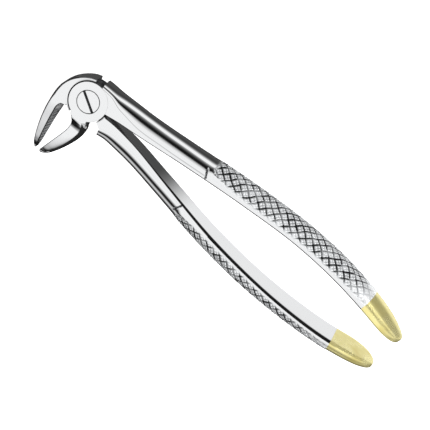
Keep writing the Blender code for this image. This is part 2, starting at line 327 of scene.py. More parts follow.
@dataclass(frozen=True)
class PolishedSteel:
    """Martensitic stainless steel, forged, ground and buffed to a mirror.

    It gives the eye near-black and near-white bands with crisp borders, softened a little by
    buffing haze, and hairline scratches from handling that show only in the highlights. The
    knurl's cut walls are duller, and painted shade darkens the bottoms of its grooves, the notch
    before it and the beaks' teeth.
    """

    name: str = "buffed_stainless_steel"
    colour: str = "F0F1F2"
    # Half-shaded and fully shaded greys of the painted shade in grooves, notch and teeth.
    half_shade_colour: str = "C8CACC"
    groove_shade_colour: str = "141516"
    knurl_matt: float = 0.36
    knurl_rough: float = 0.16
    roughness: float = 0.055
    haze: float = 0.05
    scratch_mm: float = 0.35
    haze_mm: float = 9.0

    def make(self) -> bpy.types.Material:
        """Build the material."""
        metal = bpy.data.materials.new(self.name)
        metal.use_nodes = True
        tree = metal.node_tree
        shader = tree.nodes["Principled BSDF"]
        shader.inputs["Metallic"].default_value = 1.0
        place = add_node(tree, "TexCoord").outputs["Object"]
        cloud = add_node(
            tree, "TexNoise", {"Vector": place, "Scale": 1 / (self.haze_mm * MM), "Detail": 3.0}
        ).outputs["Fac"]
        rough = add_node(tree, "MapRange", {
            "Value": cloud, "From Min": 0.3, "From Max": 0.7,
            "To Min": self.roughness, "To Max": self.roughness + self.haze,
        }).outputs["Result"]
        groove = add_node(tree, "Attribute", attribute_name="groove").outputs["Fac"]
        cut = add_node(tree, "Attribute", attribute_name="knurl").outputs["Fac"]
        rough = add_node(
            tree, "Math", {0: cut, 1: self.knurl_rough, 2: rough}, operation="MULTIPLY_ADD"
        ).outputs[0]
        tree.links.new(rough, shader.inputs["Roughness"])
        matt = add_node(tree, "Math", {0: cut, 1: -self.knurl_matt, 2: 1.0}, operation="MULTIPLY_ADD")
        tree.links.new(matt.outputs[0], shader.inputs["Metallic"])
        # The groove attribute is painted shade: the colour darkens through a half-shaded grey to near black
        # in the grooves, the notch and the teeth.
        stops = [
            (0.0, linear(self.colour)), (0.3, linear(self.half_shade_colour)),
            (0.75, linear(self.groove_shade_colour)),
        ]
        tree.links.new(ramp(tree, groove, stops).outputs["Color"], shader.inputs["Base Color"])
        stretched = add_node(tree, "Mapping", {
            "Vector": place, "Scale": (0.06, 1.0, 1.0),
        }).outputs["Vector"]
        lines = add_node(
            tree, "TexNoise", {"Vector": stretched, "Scale": 1 / (self.scratch_mm * MM), "Detail": 2.0}
        ).outputs["Fac"]
        bump = add_node(tree, "Bump", {"Height": lines, "Strength": 0.02, "Distance": 0.02 * MM})
        tree.links.new(bump.outputs["Normal"], shader.inputs["Normal"])
        return metal


@dataclass(frozen=True)
class JointGapShade:
    """Painted shade in the joint's gaps and the screw's slot: a dark film on the faces inside them.

    It gives the eye the thin dark lines round the front plate, the screw and its slot.
    """

    name: str = "painted_gap_shade"
    colour: str = "1C1D1F"
    pale_patch_colour: str = "3A3B3D"
    roughness: float = 0.45

    def make(self) -> bpy.types.Material:
        """Build the material."""
        gap_shade_material = bpy.data.materials.new(self.name)
        gap_shade_material.use_nodes = True
        tree = gap_shade_material.node_tree
        shader = tree.nodes["Principled BSDF"]
        shader.inputs["Roughness"].default_value = self.roughness
        place = add_node(tree, "TexCoord").outputs["Object"]
        cloud = add_node(
            tree, "TexNoise", {"Vector": place, "Scale": 1 / (1.5 * MM), "Detail": 4.0}
        ).outputs["Fac"]
        # Painted shade: near black with paler patches.
        stops = [(0.35, linear(self.colour)), (0.7, linear(self.pale_patch_colour))]
        tree.links.new(ramp(tree, cloud, stops).outputs["Color"], shader.inputs["Base Color"])
        return gap_shade_material


@dataclass(frozen=True)
class GoldPlate:
    """Thin gold electroplated over polished steel.

    It gives the eye a pale lemon metal, a little cloudy, that turns olive where it mirrors a dark gap.
    """

    name: str = "electroplated_gold"
    colour: str = "FAF1B0"
    deep_colour: str = "EADB88"
    roughness: float = 0.24

    def make(self) -> bpy.types.Material:
        """Build the material."""
        metal = bpy.data.materials.new(self.name)
        metal.use_nodes = True
        tree = metal.node_tree
        shader = tree.nodes["Principled BSDF"]
        shader.inputs["Metallic"].default_value = 0.85
        place = add_node(tree, "TexCoord").outputs["Object"]
        cloud = add_node(
            tree, "TexNoise", {"Vector": place, "Scale": 1 / (6.0 * MM), "Detail": 3.0}
        ).outputs["Fac"]
        stops = [(0.3, linear(self.colour)), (0.75, linear(self.deep_colour))]
        tree.links.new(ramp(tree, cloud, stops).outputs["Color"], shader.inputs["Base Color"])
        rough = add_node(tree, "MapRange", {
            "Value": cloud, "To Min": self.roughness, "To Max": self.roughness + 0.08,
        }).outputs["Result"]
        tree.links.new(rough, shader.inputs["Roughness"])
        return metal


# ---------------------------------------------------------------- handles

# The joint's own sizes, shared by every sub-assembly.
HEAD = 8.6
LAP = HEAD / 2
GAP = 0.3
DISC_R = 8.5
SEAT_R = DISC_R + GAP
JOIN_X = 30.0


@dataclass
class Grip:
    """Crossed grooves of a handle's outer side, between the collar and the plated end."""

    collar: float = 55.4
    notch_wide: float = 0.7
    notch_deep: float = 0.3
    notch_slant: float = 0.26
    start: float = 56.8
    end: float = 136.9
    raised: float = 0.35
    cell_long: float = 3.9
    cell_wide: float = 3.4
    steep: float = 0.13
    shallow: float = 0.42
    fine_share: float = 0.3
    fine_at: float = 0.75
    fine_deep: float = 0.6
    groove_deep: float = 0.42
    crown_tilt: float = 0.3
    # Darkness of the painted shade in the notch.
    faded: float = 0.75
    notch_shade: float = 0.7
    margin: Keys = ((56, 4.2), (60, 3.4), (66, 2.2), (75, 1.5), (110, 1.3), (140, 1.6))
    fade_in: tuple[float, float] = (56.6, 59.5)
    fade_out: tuple[float, float] = (126.0, 136.5)

    def notch(self, x: np.ndarray, along: np.ndarray) -> np.ndarray:
        """Depth of the short slanted notch that ends the smooth shank.

        It is the notch's full depth times e to the minus fourth power of the distance from its
        middle line, counted in half widths.

        Args:
            x: places along the handle.
            along: distances round the section from the inner edge.

        Returns:
            Depths in millimetres.
        """
        middle = self.collar + 0.8 - self.notch_slant * along
        return self.notch_deep * np.exp(-(((x - middle) / (self.notch_wide / 2)) ** 4))

    @staticmethod
    def chance(first: np.ndarray, second: np.ndarray) -> np.ndarray:
        """A fixed number from -0.5 to 0.5 for each cell: the fraction of a large sine, less a half."""
        large = np.sin(12.9898 * np.floor(first) + 78.233 * np.floor(second)) * 43758.5453
        return large - np.floor(large) - 0.5

    def relief(self, x: np.ndarray, v: np.ndarray, reach: np.ndarray) -> tuple[np.ndarray, ...]:
        """Height of the outer side above the plain D, its painted shade, and how far it is knurled.

        Two families of grooves cross. They follow the whole numbers of x / long + v / wide and of
        x / long - v / wide. Past each whole number a groove falls along a short steep wall and
        rises along a longer shallow one, and a fine groove lies further on. Each cell's crown
        leans by its own fixed amount. The grooves start at the collar, stop before the smooth
        margin and lose most of their depth towards the plated end.

        Args:
            x: places along the handle, in a column.
            v: distances round the section from the middle of the outer side.
            reach: distance round the section at which the inner edge lies.

        Returns:
            Heights in millimetres, amounts of painted shade, and shares from 0 to 1 that are knurled.
        """
        wander = 0.05 * np.sin(x * 0.61) + 0.04 * np.sin(v * 1.3 + x * 0.23)
        first = x / self.cell_long + v / self.cell_wide + wander
        second = x / self.cell_long - v / self.cell_wide - wander
        deep = np.zeros(np.broadcast(x, v).shape)
        for phase in (first, second):
            part = phase - np.floor(phase)
            walls = np.minimum(part / self.steep, 1 - (part - self.steep) / self.shallow)
            deep = np.maximum(deep, np.clip(walls, 0, 1))
            away = np.abs(part - self.fine_at) / (self.fine_share / 2)
            deep = np.maximum(deep, self.fine_deep * np.clip(1 - away, 0, 1))
        room = reach - np.abs(v) - fair(self.margin, x)
        cut = smooth_step(room, 0.0, 2.0) * smooth_step(x, *self.fade_in)
        fade = cut * (1 - self.faded * smooth_step(x, *self.fade_out))
        cell = self.chance(first, second)
        tilt = cell * (first - np.floor(first) - 0.5) - cell * (second - np.floor(second) - 0.5)
        crown = self.crown_tilt * (1 - deep) * tilt
        lift = self.raised * smooth_step(x, self.collar + 0.2, self.start + 2.6)
        dip = self.notch(x, reach - np.abs(v)) * smooth_step(np.abs(v) - reach, -5.6, -4.0)
        height = lift - dip + fade * (crown - self.groove_deep * deep)
        # Painted shade: darker where the notch and the grooves are deeper, more or less in each cell.
        painted_shade = self.notch_shade * dip / self.notch_deep + deep**1.2 * fade * (0.95 + 0.6 * cell)
        return height, painted_shade, cut


@dataclass
class Handle:
    """A forged handle: a D in section, swept along the curve of its flat inner face."""

    name: str
    sign: int
    first: float
    inner: Keys
    side: Keys
    grip: Grip
    depth: Keys
    edge: Keys
    width: Keys = (
        (0, 8.56), (20, 8.56), (35, 9.1), (55, 10.2), (75, 11.3), (95, 12.2), (115, 14.0),
        (135, 15.7), (145, 15.8), (160, 15.8),
    )
    bulge: float = 0.15
    bulge_at: float = 1.4
    crown: float = 2.15
    nose_long: float = 15.5
    nose_blunt: float = 2.4
    nose_depth: float = 0.6
    nose_lift: float = 2.2
    nose_turn: float = 1.54
    gold_step: float = 0.2
    gold_gap: float = 0.02
    ease_wide: float = 3.2
    bevel_z: Sequence[float] = (0.0, 0.086, 0.172, 0.258, 0.325, 0.45, 0.62)
    bevel_d: Sequence[float] = (1.0, 0.75, 0.5, 0.25, 0.06, 0.02, 0.0)
    shank_rings: int = 28
    neck_rings: int = 26
    rings_per_cell: int = 18
    gold_straight_rings: int = 16
    gold_nose_rings: int = 72
    gold_arc_steps: int = 96

    def section(self, x: np.ndarray, arc_steps: int, plated: bool) -> tuple[np.ndarray, ...]:
        """Outline of the D at each place, before it is set along the handle.

        The outer side is a superellipse, the sides are straight, each inner edge is a shallow
        bevel that ends in a tight curve, and the inner face is flat. The nose shrinks all of it.

        Args:
            x: places along the handle.
            arc_steps: steps round the convex side.
            plated: whether this is the smooth plated end.

        Returns:
            Four arrays of (place, point): height along Z from the middle, distance outwards from
            the inner face, amounts of painted shade, and shares that are knurled.
        """
        x = x[:, None]
        nose = np.clip((x - self.inner[-1][0] + self.nose_long) / self.nose_long, 0.0, 1.0)
        shrink = np.sqrt(1.0 - nose**self.nose_blunt)
        half = fair(self.width, x) / 2 * shrink
        side = fair(self.side, x) * shrink
        rise = fair(self.depth, x) * shrink**self.nose_depth - side
        edge = fair(self.edge, x) * shrink
        turn = self.even_turn(arc_steps)[None, :]
        across = half * power(np.cos(turn), 2 / self.crown)
        up = side + rise * np.sin(turn) ** (2 / self.crown)
        run_across, run_up = np.gradient(across, axis=1), np.gradient(up, axis=1)
        run = np.hypot(run_across, run_up)
        walked = np.cumsum(run, axis=1) - run / 2
        start = np.minimum(walked, walked[:, -1:] - walked) / self.bulge_at
        bulge = self.bulge * shrink * (1 - smooth_step(x, self.grip.collar - 1.0, self.grip.start + 1.0))
        across = across + np.sign(np.cos(turn)) * bulge * start * np.exp(1 - start)
        v = np.cumsum(run, axis=1) - run / 2
        v = v - v[:, arc_steps // 2][:, None]
        reach = np.abs(v).max(axis=1, keepdims=True) + side
        if plated:
            height = np.full_like(v, self.grip.raised - self.gold_step)
            groove = knurl = np.zeros_like(v)
        else:
            height, groove, knurl = self.grip.relief(x, v, reach)
        ease = smooth_step(reach - side - np.abs(v), 0.0, self.ease_wide)
        height = height * np.where(height > 0, ease, 1.0) * shrink
        across = across + height * run_up / run
        up = up - height * run_across / run
        corner_z = edge * np.array([self.bevel_z])
        corner_d = edge * np.array([self.bevel_d])
        straight = np.linspace(1.0, 0.0, 4)[None, 1:-1]
        flat_d = edge + straight * (side - edge)
        flat_z = half - self.grip.notch(x, flat_d)
        span = half - self.bevel_z[-1] * edge
        middle_z = np.linspace(-1.0, 1.0, 8)[None, 1:-1] * span
        back_z = np.concatenate([-flat_z, corner_z - half, middle_z], axis=1)
        back_d = np.concatenate([flat_d, corner_d, np.zeros_like(middle_z)], axis=1)
        fore_z = np.concatenate([half - corner_z[:, ::-1], flat_z[:, ::-1]], axis=1)
        fore_d = np.concatenate([corner_d[:, ::-1], flat_d[:, ::-1]], axis=1)
        z = np.concatenate([across, back_z, fore_z], axis=1)
        d = np.concatenate([up, back_d, fore_d], axis=1) + self.nose_lift * (1 - shrink)
        spare = z.shape[1] - groove.shape[1]
        grip = self.grip
        # Painted shade in the notch where it crosses the flat sides.
        painted_shade = 0.0 if plated else grip.notch_shade / grip.notch_deep * grip.notch(x, flat_d)
        groove = np.pad(groove, ((0, 0), (0, spare)))
        sides = flat_d.shape[1]
        groove[:, arc_steps + 1:arc_steps + 1 + sides] = painted_shade
        groove[:, -sides:] = painted_shade
        return z, d, groove, np.pad(knurl, ((0, 0), (0, spare)))

    def even_turn(self, steps: int) -> np.ndarray:
        """Angles that walk the convex side in about equal steps, by its length on a middling section.

        Args:
            steps: steps round the convex side.

        Returns:
            One angle more than there are steps, from 0 to half a turn.
        """
        fine = np.linspace(0.0, math.pi, 721)
        across = 6.0 * power(np.cos(fine), 2 / self.crown)
        up = 5.8 * np.sin(fine) ** (2 / self.crown)
        length = np.concatenate([[0.0], np.cumsum(np.hypot(np.diff(across), np.diff(up)))])
        return np.interp(np.linspace(0.0, length[-1], steps + 1), length, fine)

    def rings(self, x: np.ndarray, arc_steps: int, plated: bool = False) -> tuple[np.ndarray, ...]:
        """Sections set square to the inner face's curve.

        Args:
            x: places along the handle.
            arc_steps: steps round the convex side.
            plated: whether this is the smooth plated end.

        Returns:
            Points as (place, point, xyz), then amounts of painted shade and knurled shares as (place,
            point).
        """
        z, d, groove, knurl = self.section(x, arc_steps, plated)
        step = 0.1
        slope = (fair(self.inner, x + step) - fair(self.inner, x - step)) / (2 * step)
        lean = np.arctan(slope)[:, None]
        points_x = x[:, None] - self.sign * d * np.sin(lean)
        points_y = fair(self.inner, x)[:, None] + self.sign * d * np.cos(lean)
        return np.stack([points_x, points_y, LAP + z], axis=2), groove, knurl

    def shank(self, arc_steps: int) -> tuple[bpy.types.Mesh, np.ndarray]:
        """The closed stretch from the joint to the plane where the grip's mesh takes over.

        Args:
            arc_steps: steps round the convex side.

        Returns:
            The mesh, and its last ring in millimetres.
        """
        x = np.linspace(self.first, JOIN_X, self.shank_rings)
        rings = self.rings(x, arc_steps)[0]
        return grid_mesh(self.name + "_shank", rings), rings[-1]

    def grip_mesh(self, arc_steps: int) -> bpy.types.Mesh:
        """The stretch from the joining plane to the plated end, open where it joins.

        Args:
            arc_steps: steps round the convex side.

        Returns:
            The mesh, with its painted shade and its knurled share as attributes.
        """
        neck = np.linspace(JOIN_X, self.grip.collar - 1.0, self.neck_rings)[:-1]
        rows = int((self.grip.end - self.grip.collar + 1.0) / self.grip.cell_long * self.rings_per_cell)
        x = np.concatenate([neck, np.linspace(self.grip.collar - 1.0, self.grip.end, rows)])
        rings, groove, knurl = self.rings(x, arc_steps)
        mesh = grid_mesh(self.name + "_grip", rings, start=False)
        # The groove attribute carries the painted shade.
        for name, amount in (("groove", groove), ("knurl", knurl)):
            layer = mesh.attributes.new(name, "FLOAT", "POINT")
            layer.data.foreach_set("value", amount.astype(np.float32).ravel())
        return mesh

    def gold_mesh(self) -> bpy.types.Mesh:
        """The plated end, closed to a blunt nose."""
        tip = self.inner[-1][0]
        start = self.grip.end + self.gold_gap
        straight = np.linspace(start, tip - self.nose_long, self.gold_straight_rings)[:-1]
        turn = np.linspace(0.0, self.nose_turn, self.gold_nose_rings)
        curve = tip - self.nose_long * (1 - np.sin(turn))
        rings = self.rings(np.concatenate([straight, curve]), self.gold_arc_steps, plated=True)[0]
        return grid_mesh(self.name + "_gold_end_mesh", rings)


# ---------------------------------------------------------------- beaks


@dataclass
class Beak:
    """A beak lofted from its back to its hollow working face, with fine cross teeth."""

    name: str
    stations: Sequence[tuple]
    square: float
    rim_across: float
    rim_down: float
    tooth: float = 0.72
    tooth_deep: float = 0.10
    teeth_from: float = -12.5
    slant: float = 0.0
    worked_matt: float = 0.7
    rings_count: int = 220
    arc_steps: int = 48
    face_steps: int = 16

    def mesh(self) -> bpy.types.Mesh:
        """Loft the beak.

        The stations' outer and inner points, half height and gouge depth are each a smooth curve
        of the length walked along the outer points. A section is a superellipse from the back
        to the rims, and the working face between the rims is a parabola hollowed by the gouge,
        with a triangle wave across it for the teeth. The slant makes the lower rim stand out.

        Returns:
            The closed beak, with its teeth's painted shade and its ground face as attributes.
        """
        outer = np.array([s[0] for s in self.stations], dtype=float)
        inner = np.array([s[1] for s in self.stations], dtype=float)
        mid = (outer + inner) / 2
        walk = np.concatenate([[0.0], np.cumsum(np.linalg.norm(np.diff(mid, axis=0), axis=1))])
        s = np.linspace(0.0, walk[-1], self.rings_count)
        curves = [outer[:, 0], outer[:, 1], inner[:, 0], inner[:, 1]]
        curves += [np.array([k[2] for k in self.stations]), np.array([k[3] for k in self.stations])]
        ox, oy, ix, iy, half, gouge = (fair(np.column_stack([walk, c]), s) for c in curves)
        outer_line = np.stack([ox, oy], axis=1)[:, None, :]
        inner_line = np.stack([ix, iy], axis=1)[:, None, :]
        thick = np.linalg.norm(outer_line - inner_line, axis=2)
        half = half[:, None]
        turn = np.linspace(0.0, math.pi, self.arc_steps + 1)[None, :]
        rim_z = np.minimum(self.rim_down, 0.45 * half)
        rim_a = np.minimum(self.rim_across, 0.4 * thick) / thick
        up = half * power(np.cos(turn), 2 / self.square)
        share = rim_a + (1 - rim_a) * np.sin(turn) ** (2 / self.square)
        face = np.linspace(-1.0, 1.0, self.face_steps + 1)[None, :]
        face_up = face * (half - rim_z)
        phase = iy[:, None] / self.tooth
        wave = 2 * np.abs(phase - np.round(phase))
        cut = self.tooth_deep * wave * smooth_step(-iy[:, None], -self.teeth_from, 1.5 - self.teeth_from)
        cut = cut * np.minimum(gouge[:, None] / 0.3, 1.0)
        hollow = ((1 - face**2) * gouge[:, None] + cut) / thick
        share = np.concatenate([share, hollow], axis=1)
        height = np.concatenate([up, face_up], axis=1)
        lean = self.slant * np.minimum(gouge[:, None] / 0.4, 1.0) * half / 4.0 / thick
        lean = lean * np.where(height > 0, 0.35, 1.0)
        share = share + lean * (1 - share) * height / half
        flat = inner_line + share[:, :, None] * (outer_line - inner_line)
        rings = np.concatenate([flat, LAP + height[:, :, None]], axis=2)
        mesh = grid_mesh(self.name, rings)
        worked = np.zeros(rings.shape[:2])
        worked[:, turn.size:] = self.worked_matt * smooth_step(gouge[:, None], 0.3, 0.6) * (1 - face**6)
        # The teeth go into the groove attribute as painted shade in the serrations.
        teeth = np.zeros(rings.shape[:2])
        teeth[:, turn.size:] = np.broadcast_to(cut / self.tooth_deep, face_up.shape)
        for name, amount in (("groove", teeth), ("knurl", worked)):
            values = np.zeros(len(mesh.vertices), dtype=np.float32)
            values[:amount.size] = amount.ravel()
            mesh.attributes.new(name, "FLOAT", "POINT").data.foreach_set("value", values)
        return mesh


# Each station has its outer point, its inner point, half its height and the gouge's depth.
OUTER_BEAK = Beak("outer_beak", (
    ((-2.8, 9.7), (-1.9, 6.8), 4.3, 0.0),
    ((-5.2, 8.65), (-3.7, 6.0), 4.3, 0.0),
    ((-7.2, 7.25), (-4.8, 5.1), 4.3, 0.0),
    ((-8.9, 5.7), (-5.7, 4.0), 4.3, 0.0),
    ((-10.7, 3.6), (-6.4, 2.5), 4.3, 0.0),
    ((-12.15, 1.2), (-6.8, 0.8), 4.3, 0.0),
    ((-13.1, -1.3), (-6.9, -1.0), 4.3, 0.0),
    ((-13.5, -4.5), (-6.4, -3.6), 4.3, 0.0),
    ((-13.45, -7.0), (-6.3, -7.3), 4.3, 0.0),
    ((-13.3, -8.7), (-8.1, -8.1), 4.25, 0.1),
    ((-13.1, -10.6), (-8.7, -10.2), 4.15, 0.4),
    ((-12.75, -13.4), (-8.5, -13.4), 3.9, 0.8),
    ((-12.05, -17.2), (-8.05, -17.2), 3.5, 0.95),
    ((-11.1, -21.0), (-7.5, -21.0), 3.1, 0.9),
    ((-10.05, -24.4), (-6.95, -24.4), 2.7, 0.75),
    ((-8.9, -27.6), (-6.4, -27.6), 2.25, 0.55),
    ((-7.9, -29.8), (-6.05, -29.8), 1.75, 0.35),
    ((-7.1, -31.1), (-5.85, -31.1), 1.2, 0.15),
    ((-6.65, -31.7), (-6.0, -31.7), 0.6, 0.0),
), square=14.0, rim_across=0.4, rim_down=0.35, slant=0.85)

INNER_BEAK = Beak("inner_beak", (
    ((4.7, -6.4), (-2.2, -6.4), 3.6, 0.0),
    ((5.1, -8.0), (-2.5, -8.0), 3.9, 0.0),
    ((5.5, -9.6), (-2.1, -9.6), 4.12, 0.0),
    ((6.0, -10.8), (-1.0, -10.8), 3.78, 0.1),
    ((6.2, -12.4), (-0.35, -12.4), 3.29, 0.4),
    ((6.22, -13.3), (-0.25, -13.3), 3.12, 0.6),
    ((6.15, -14.8), (-0.2, -14.8), 3.1, 0.9),
    ((5.5, -17.8), (-0.7, -17.8), 3.05, 1.2),
    ((4.4, -21.0), (-1.5, -21.0), 2.9, 1.25),
    ((3.1, -24.1), (-2.3, -24.1), 2.65, 1.1),
    ((1.65, -27.0), (-3.05, -27.0), 2.3, 0.85),
    ((0.1, -29.5), (-3.75, -29.5), 1.85, 0.55),
    ((-1.35, -31.2), (-4.1, -31.2), 1.3, 0.25),
    ((-2.9, -32.1), (-3.9, -32.0), 0.55, 0.0),
), square=3.4, rim_across=0.35, rim_down=0.35)


# ---------------------------------------------------------------- sub-assemblies


@dataclass
class Half:
    """What both forged halves share: a handle, and how its head and grip become one mesh."""

    handle: Handle
    arc_steps: int = 120

    def head(self, shank: bpy.types.Mesh) -> bpy.types.Mesh:
        """Carve the head of this half round its shank."""
        raise NotImplementedError

    def mesh(self, name: str) -> bpy.types.Mesh:
        """Carve the head, then weld it to the grip at the joining plane.

        The shank's end cap is found by its corners, to a hundredth of a millimetre, and removed.

        Args:
            name: the mesh's name.

        Returns:
            The half as one closed mesh.
        """
        shank, ring = self.handle.shank(self.arc_steps)
        head = self.head(shank)
        work = bmesh.new()
        work.from_mesh(head)
        ends = {tuple(np.round(p * 100).astype(int)) for p in ring}
        lids = [
            f for f in work.faces
            if all(tuple(np.round(np.array(v.co) / MM * 100).astype(int)) in ends for v in f.verts)
        ]
        bmesh.ops.delete(work, geom=lids, context="FACES_ONLY")
        work.from_mesh(self.handle.grip_mesh(self.arc_steps))
        bmesh.ops.remove_doubles(work, verts=work.verts, dist=0.0005 * MM)
        mesh = bpy.data.meshes.new(name)
        work.to_mesh(mesh)
        work.free()
        return mesh


@dataclass
class RearHalf(Half):
    """Outer beak, wall that wraps the joint, rear disc and lower handle."""

    wall_r: float = 9.3
    wall_turn: tuple[float, float] = (108.0, 244.5)
    thread_r: float = 3.08
    chamfer: float = 0.9
    chamfer_drop: float = 0.22
    disc_edge: float = 0.2
    disc_top_edge: float = 0.22
    # Wall and disc stop this far short of the beak's faces, so that no joined faces share a plane.
    inset: float = 0.012
    corner: Keys = ((3.0, -1.6), (7.35, -4.35), (10.3, -6.1), (10.8, -12.0), (3.0, -12.0))

    def head(self, shank: bpy.types.Mesh) -> bpy.types.Mesh:
        """Join beak, wall, shank and disc, and cut the round seat and the screw's bore."""
        wall = np.vstack([arc(self.wall_r, *self.wall_turn, steps=80), [[2.0, 0.0]]])
        shank = carve("lower_shank", shank, [
            ("DIFFERENCE", prism("corner", np.array(self.corner)[::-1], -5.0, HEAD + 5.0)),
        ])
        low = LAP - GAP / 2
        seat = turned("seat", (
            (SEAT_R, low), (SEAT_R + 0.1, HEAD - self.chamfer_drop), (SEAT_R + self.chamfer, HEAD),
            (SEAT_R + self.chamfer + 0.05, HEAD + 2.0),
        ))
        return carve("rear_head", OUTER_BEAK.mesh(), [
            ("UNION", prism("wall", wall, self.inset, HEAD - self.inset)),
            ("UNION", shank),
            ("UNION", turned("disc", (
                (DISC_R - self.disc_edge, self.inset / 2), (DISC_R, self.disc_edge),
                (DISC_R, low - self.disc_top_edge), (DISC_R - self.disc_top_edge, low),
            ))),
            ("DIFFERENCE", seat),
            ("DIFFERENCE", turned("bore", ((self.thread_r, -1.0), (self.thread_r, HEAD)), 96)),
        ])


@dataclass
class FrontHalf(Half):
    """Inner beak, front plate with the screw's seat, and upper handle."""

    lobe: Keys = ((-2.9, -8.75), (-1.2, -9.4), (0.9, -9.6), (3.0, -9.2), (4.6, -8.1))
    edge: float = 0.12
    plate_trim: float = 0.1
    shoulder_r: float = 3.48
    head_r: float = 4.94
    head_seat: float = 6.4

    def outline(self) -> np.ndarray:
        """The disc's circle, opened by a smooth lobe over the beak's neck."""
        start = math.degrees(math.atan2(self.lobe[-1][1], self.lobe[-1][0]))
        end = math.degrees(math.atan2(self.lobe[0][1], self.lobe[0][0])) + 360.0
        lobe = np.array(self.lobe)
        x = np.linspace(lobe[0, 0], lobe[-1, 0], 33)
        bulge = np.column_stack([x, fair(self.lobe, x)])
        return np.vstack([arc(DISC_R - self.plate_trim, start + 2.0, end - 2.0, 150), bulge])

    def head(self, shank: bpy.types.Mesh) -> bpy.types.Mesh:
        """Join plate, beak and shank, and cut the room for the rear disc and the screw."""
        top = LAP + GAP / 2
        bore = turned("bore", (
            (self.shoulder_r, 0.0), (self.shoulder_r, self.head_seat), (self.head_r, self.head_seat),
            (self.head_r, HEAD - 0.1), (self.head_r + 0.1, HEAD), (self.head_r + 0.15, HEAD + 1.0),
        ), 120)
        return carve("front_head", plate("plate", self.outline(), top, HEAD, self.edge), [
            ("UNION", INNER_BEAK.mesh()),
            ("UNION", shank),
            ("DIFFERENCE", turned("room", ((SEAT_R, -3.0), (SEAT_R, top)))),
            ("DIFFERENCE", bore),
        ])


@dataclass
class PivotScrew:
    """The slotted screw, flush with the front of the head."""

    head_r: float = 4.74
    head_deep: float = 1.9
    shoulder_r: float = 3.4
    thread_r: float = 3.0
    slot_wide: float = 1.1
    slot_deep: float = 1.1
    slot_angle: float = -32.0
    edge: float = 0.14

    def mesh(self) -> bpy.types.Mesh:
        """Turn the screw, with rounded head edge, and cut its slot."""
        under = HEAD - self.head_deep
        turn = np.linspace(0.0, math.pi / 2, 6)
        rim = [
            (self.head_r - self.edge * (1 - math.cos(a)), HEAD - self.edge * (1 - math.sin(a)))
            for a in turn
        ]
        screw = turned("screw", (
            (self.thread_r - 0.25, 0.0), (self.thread_r, 0.25), (self.thread_r, 4.5),
            (self.shoulder_r, 4.5), (self.shoulder_r, under), (self.head_r, under), *rim,
        ), 120)
        reach = self.head_r + 1.0
        half = self.slot_wide / 2
        corners = np.array([(-reach, -half), (reach, -half), (reach, half), (-reach, half)])
        angle = math.radians(self.slot_angle)
        swing = np.array([[math.cos(angle), math.sin(angle)], [-math.sin(angle), math.cos(angle)]])
        slot = prism("slot", corners @ swing, HEAD - self.slot_deep, HEAD + 1.0)
        return carve("pivot_screw_mesh", screw, [("DIFFERENCE", slot)])


@dataclass
class Dresser:
    """Makes a finished piece from a mesh: its shading, finish, body and CAD node."""

    gap_shade: bpy.types.Material
    sharp: float = 30.0
    # Faces inside these bounds get the painted shade of the joint's gaps.
    gap_shade_radius: float = 8.95
    gap_shade_low: float = 0.25
    gap_shade_top: float = HEAD - 0.16

    def paint_gap_shade(self, mesh: bpy.types.Mesh) -> None:
        """Give the painted gap shade to faces inside the joint: within its radius and below the front face.
        """
        count = len(mesh.polygons)
        middles = np.empty(count * 3, dtype=np.float32)
        mesh.polygons.foreach_get("center", middles)
        x, y, z = middles.reshape(-1, 3).T / MM
        inside = (np.hypot(x, y) < self.gap_shade_radius) & (z < self.gap_shade_top) & (z > self.gap_shade_low)
        mesh.polygons.foreach_set("material_index", inside.astype(np.int32))

    def piece(
        self, name: str, mesh: bpy.types.Mesh, metal: bpy.types.Material, body: Body, node: str, slot: Slot
    ) -> bpy.types.Object:
        """Link a mesh as a piece that replaces a CAD node.

        Args:
            name: the piece's name.
            mesh: its final mesh.
            metal: its finish.
            body: the CAD body that it rides on.
            node: the CAD node that it stands for.
            slot: the record's slot for its finish; not used.

        Returns:
            The piece.
        """
        mesh.name = name
        mesh.materials.clear()
        mesh.materials.append(metal)
        # The second slot holds the painted shade of the joint's gaps.
        mesh.materials.append(self.gap_shade)
        self.paint_gap_shade(mesh)
        mesh.shade_smooth()
        mesh.set_sharp_from_angle(angle=math.radians(self.sharp))
        thing = bpy.data.objects.new(name, mesh)
        bpy.context.scene.collection.objects.link(thing)
        weigh = thing.modifiers.new("weigh", "WEIGHTED_NORMAL")
        weigh.keep_sharp = True
        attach(thing, body.value)
        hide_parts(node)
        triangles = sum(len(f.vertices) - 2 for f in mesh.polygons)
        log.info("%s: %d triangles on %s", name, triangles, body.value)
        return thing


# ---------------------------------------------------------------- studio


def mirror_only(thing: bpy.types.Object) -> None:
    """Hide a stage piece from every ray but mirrored ones."""
    thing.visible_camera = False
    thing.visible_diffuse = False
    thing.visible_shadow = False
    thing.visible_transmission = False


